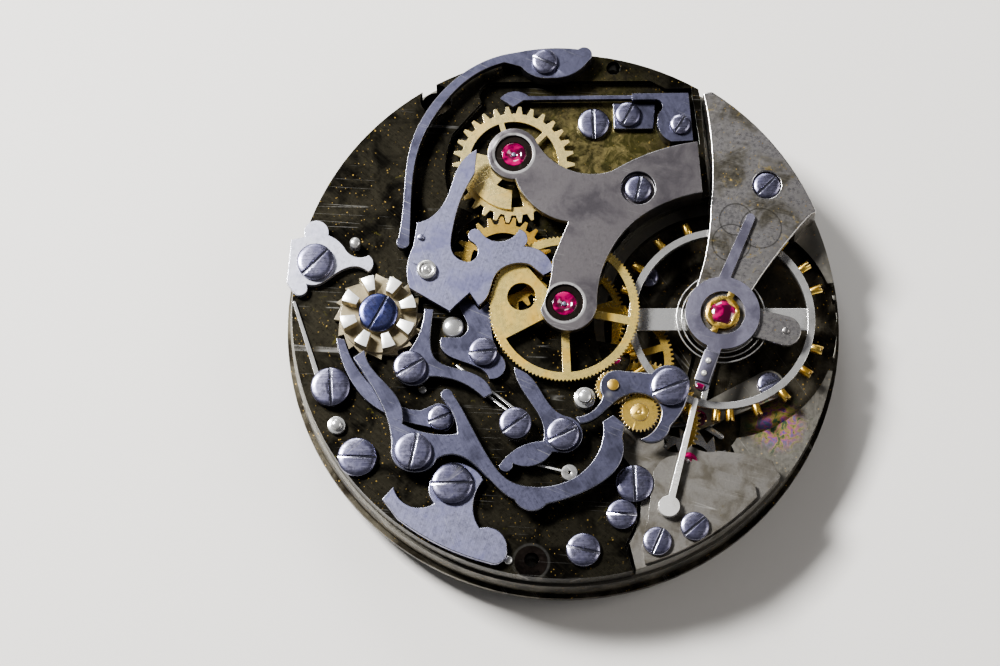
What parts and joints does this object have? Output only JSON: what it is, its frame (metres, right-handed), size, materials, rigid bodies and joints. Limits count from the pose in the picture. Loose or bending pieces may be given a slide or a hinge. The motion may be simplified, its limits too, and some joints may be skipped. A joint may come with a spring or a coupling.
{
  "type": "chronograph watch movement",
  "caption": "Hand-wound column-wheel chronograph watch movement, bridge side up, with its balance, going train, levers, springs and minute counter on a round plate",
  "frame": {"origin": "centre of the movement on the dial seat, where the sweep-seconds axis meets the dial-side face", "axes": "+Z towards the bridges, the winding stem enters along +X from -X, +Y towards the minute counter"},
  "size_m": [0.0315, 0.0314, 0.0079],
  "materials": {
    "blued_steel": "deep heat-blued steel",
    "bridge_steel": "straight-grained dull steel bridge with bevelled edges",
    "bright_steel": "polished steel",
    "frosted_nickel": "bright frosted nickel, lightly stained",
    "grey_steel": "fine-grained steel lever, satin, slightly blue-violet",
    "nickel_plate": "aged frosted nickel with dark brown-green tarnish, satin",
    "ruby": "synthetic ruby, polished",
    "screw_steel": "scratched screw heads with worn slots",
    "silvered_cock": "silvered cock with green and yellow tarnish",
    "wheel_brass": "gilt brass wheel"
  },
  "bodies": {
    "frame": {"main_plate": "nickel_plate", "train_bridge": "nickel_plate", "fourth_bridge": "frosted_nickel", "balance_cock": "silvered_cock", "stud_carrier": "silvered_cock", "chronograph_bridge": "bridge_steel", "pallet_bridge": "bridge_steel", "bridge_screws": "screw_steel", "small_screws": "screw_steel", "pivot_screws": "screw_steel", "fixed_studs": "bright_steel", "ruby_jewels": "ruby", "shock_spring": "wheel_brass", "hairspring": "bright_steel", "minute_jumper": "grey_steel", "jumper_cover": "grey_steel", "hammer_spring": "grey_steel", "hammer_stop": "grey_steel", "column_wheel_screw": "blued_steel", "column_jumper": "grey_steel", "start_spring": "bright_steel", "blocking_springs": "bright_steel", "brake_spring": "bright_steel", "clutch_spring": "bright_steel"},
    "barrel": {"mainspring_barrel": "nickel_plate", "barrel_cover": "nickel_plate", "mainspring": "bright_steel"},
    "barrel_arbor": {"barrel_arbor": "bright_steel", "ratchet_wheel": "bright_steel"},
    "crown_wheel": {"crown_wheel": "bright_steel"},
    "click": {"click": "grey_steel"},
    "centre_wheel": {"centre_wheel": "wheel_brass"},
    "third_wheel": {"third_wheel": "wheel_brass"},
    "fourth_wheel": {"fourth_wheel": "wheel_brass", "driving_wheel": "wheel_brass"},
    "escape_wheel": {"escape_wheel": "bright_steel"},
    "pallet_fork": {"pallet_fork": "bright_steel"},
    "balance": {"balance_wheel": "bright_steel", "balance_screws": "wheel_brass", "balance_staff": "bright_steel"},
    "regulator_index": {"regulator_index": "grey_steel"},
    "runner": {"chronograph_runner": "wheel_brass"},
    "relay_wheel": {"relay_wheel": "wheel_brass"},
    "minute_runner": {"minute_runner": "wheel_brass"},
    "hammer": {"hammer": "grey_steel"},
    "column_wheel": {"column_wheel": "bright_steel"},
    "start_lever": {"start_lever": "grey_steel"},
    "reset_lever": {"reset_lever": "grey_steel"},
    "flyback_lever": {"flyback_lever": "grey_steel"},
    "blocking_lever": {"blocking_lever": "grey_steel"},
    "brake_lever": {"brake_lever": "grey_steel"},
    "clutch_lever": {"clutch_lever": "grey_steel"},
    "coupling_wheel": {"coupling_wheel": "wheel_brass"},
    "winding_pinion": {"winding_pinion": "bright_steel"},
    "clutch_wheel": {"clutch_wheel": "bright_steel"},
    "setting_lever": {"setting_lever": "grey_steel"},
    "yoke": {"yoke": "grey_steel"},
    "setting_wheel": {"setting_wheel": "wheel_brass"},
    "motion_wheel": {"motion_wheel": "wheel_brass"},
    "cannon_pinion": {"cannon_pinion": "bright_steel"}
  },
  "joints": [
    {"name": "fourth_wheel_turn", "type": "hinge", "parent": "frame", "child": "fourth_wheel", "pos_m": [0.00225, -0.007, 0.003], "axis": [0, 0, 1], "continuous": true},
    {"name": "barrel_turn", "type": "hinge", "parent": "frame", "child": "barrel", "pos_m": [-0.0038, -0.0045, 0.0016], "axis": [0, 0, 1], "continuous": true},
    {"name": "centre_wheel_turn", "type": "hinge", "parent": "frame", "child": "centre_wheel", "pos_m": [0, 0, 0.0025], "axis": [0, 0, 1], "continuous": true},
    {"name": "third_wheel_turn", "type": "hinge", "parent": "frame", "child": "third_wheel", "pos_m": [0.002, -0.0033, 0.0026], "axis": [0, 0, 1], "continuous": true},
    {"name": "escape_wheel_turn", "type": "hinge", "parent": "frame", "child": "escape_wheel", "pos_m": [0.0041, -0.01026, 0.0017], "axis": [0, 0, 1], "continuous": true},
    {"name": "cannon_pinion_turn", "type": "hinge", "parent": "frame", "child": "cannon_pinion", "pos_m": [0, 0, 0.0003], "axis": [0, 0, 1], "continuous": true},
    {"name": "motion_wheel_turn", "type": "hinge", "parent": "frame", "child": "motion_wheel", "pos_m": [-0.0026, -0.00046, 0.0003], "axis": [0, 0, 1], "continuous": true},
    {"name": "setting_wheel_turn", "type": "hinge", "parent": "frame", "child": "setting_wheel", "pos_m": [-0.00656, -0.00046, 0.0003], "axis": [0, 0, 1], "continuous": true},
    {"name": "arbor_winding", "type": "hinge", "parent": "frame", "child": "barrel_arbor", "pos_m": [-0.0038, -0.0045, 0.0028], "axis": [0, 0, 1], "continuous": true},
    {"name": "crown_wheel_turn", "type": "hinge", "parent": "frame", "child": "crown_wheel", "pos_m": [-0.0089, -0.00195, 0.0028], "axis": [0, 0, 1], "continuous": true},
    {"name": "winding_pinion_turn", "type": "hinge", "parent": "frame", "child": "winding_pinion", "pos_m": [-0.0121, 0, 0.00145], "axis": [1, 0, 0], "continuous": true},
    {"name": "click_lift", "type": "hinge", "parent": "frame", "child": "click", "pos_m": [-0.0033, -0.0083, 0.00285], "axis": [0, 0, 1], "range_deg": [0, 12]},
    {"name": "pallet_rock", "type": "hinge", "parent": "frame", "child": "pallet_fork", "pos_m": [0.00556, -0.00777, 0.0017], "axis": [0, 0, 1], "range_deg": [-5, 5]},
    {"name": "balance_swing", "type": "hinge", "parent": "frame", "child": "balance", "pos_m": [0.0084, -0.00295, 0.0037], "axis": [0, 0, 1], "range_deg": [-270, 270]},
    {"name": "regulator_turn", "type": "hinge", "parent": "frame", "child": "regulator_index", "pos_m": [0.0084, -0.00295, 0.0051], "axis": [0, 0, 1], "range_deg": [-2, 30]},
    {"name": "runner_turn", "type": "hinge", "parent": "frame", "child": "runner", "pos_m": [0, 0, 0.0047], "axis": [0, 0, 1], "continuous": true},
    {"name": "relay_wheel_turn", "type": "hinge", "parent": "frame", "child": "relay_wheel", "pos_m": [-0.00245, 0.00376, 0.0037], "axis": [0, 0, 1], "continuous": true},
    {"name": "minute_runner_turn", "type": "hinge", "parent": "frame", "child": "minute_runner", "pos_m": [-0.00015, 0.0092, 0.0038], "axis": [0, 0, 1], "continuous": true},
    {"name": "column_wheel_turn", "type": "hinge", "parent": "frame", "child": "column_wheel", "pos_m": [-0.0101, 0.0027, 0.0042], "axis": [0, 0, 1], "continuous": true},
    {"name": "hammer_strike", "type": "hinge", "parent": "frame", "child": "hammer", "pos_m": [-0.0068, 0.00425, 0.0051], "axis": [0, 0, 1], "range_deg": [-8, 0]},
    {"name": "start_lever_press", "type": "hinge", "parent": "frame", "child": "start_lever", "pos_m": [-0.0126, 0.00675, 0.0042], "axis": [0, 0, 1], "range_deg": [-4, 0]},
    {"name": "reset_lever_press", "type": "hinge", "parent": "frame", "child": "reset_lever", "pos_m": [-0.00895, -0.0078, 0.0042], "axis": [0, 0, 1], "range_deg": [0, 4]},
    {"name": "flyback_lever_swing", "type": "hinge", "parent": "frame", "child": "flyback_lever", "pos_m": [-0.01055, -0.0056, 0.0051], "axis": [0, 0, 1], "range_deg": [-3, 0]},
    {"name": "blocking_lever_swing", "type": "hinge", "parent": "frame", "child": "blocking_lever", "pos_m": [-0.0093, -0.0008, 0.0047], "axis": [0, 0, 1], "range_deg": [-3, 3]},
    {"name": "brake_lever_release", "type": "hinge", "parent": "frame", "child": "brake_lever", "pos_m": [-0.00225, -0.007, 0.0047], "axis": [0, 0, 1], "range_deg": [0, 4]},
    {"name": "clutch_lever_swing", "type": "hinge", "parent": "frame", "child": "clutch_lever", "pos_m": [0.00425, -0.00625, 0.0051], "axis": [0, 0, 1], "range_deg": [-3.4, 1.5]},
    {"name": "coupling_wheel_turn", "type": "hinge", "parent": "clutch_lever", "child": "coupling_wheel", "pos_m": [0.00125, -0.00518, 0.0047], "axis": [0, 0, 1], "continuous": true},
    {"name": "setting_lever_turn", "type": "hinge", "parent": "frame", "child": "setting_lever", "pos_m": [-0.0123, 0.002, 0.0003], "axis": [0, 0, 1], "range_deg": [0, 14]},
    {"name": "yoke_turn", "type": "hinge", "parent": "frame", "child": "yoke", "pos_m": [-0.0092, -0.0023, 0.0006], "axis": [0, 0, 1], "range_deg": [-22, 0]},
    {"name": "clutch_slide", "type": "slide", "parent": "frame", "child": "clutch_wheel", "axis": [1, 0, 0], "range_m": [0, 0.0008]}
  ],
  "couplings": [
    {"joint": "third_wheel_turn", "follows": "fourth_wheel_turn", "ratio": -0.13333},
    {"joint": "centre_wheel_turn", "follows": "fourth_wheel_turn", "ratio": 0.016667},
    {"joint": "barrel_turn", "follows": "fourth_wheel_turn", "ratio": -0.0020833},
    {"joint": "escape_wheel_turn", "follows": "fourth_wheel_turn", "ratio": -10},
    {"joint": "coupling_wheel_turn", "follows": "fourth_wheel_turn", "ratio": -1.1071},
    {"joint": "cannon_pinion_turn", "follows": "fourth_wheel_turn", "ratio": 0.016667},
    {"joint": "motion_wheel_turn", "follows": "fourth_wheel_turn", "ratio": -0.0055556},
    {"joint": "setting_wheel_turn", "follows": "fourth_wheel_turn", "ratio": 0.0055556},
    {"joint": "relay_wheel_turn", "follows": "runner_turn", "ratio": -0.041667},
    {"joint": "minute_runner_turn", "follows": "runner_turn", "ratio": 0.033333},
    {"joint": "crown_wheel_turn", "follows": "arbor_winding", "ratio": -0.72727},
    {"joint": "winding_pinion_turn", "follows": "arbor_winding", "ratio": 2.8571},
    {"joint": "setting_lever_turn", "follows": "clutch_slide", "rad_per_m": 305.13},
    {"joint": "yoke_turn", "follows": "clutch_slide", "rad_per_m": -479.49}
  ]
}
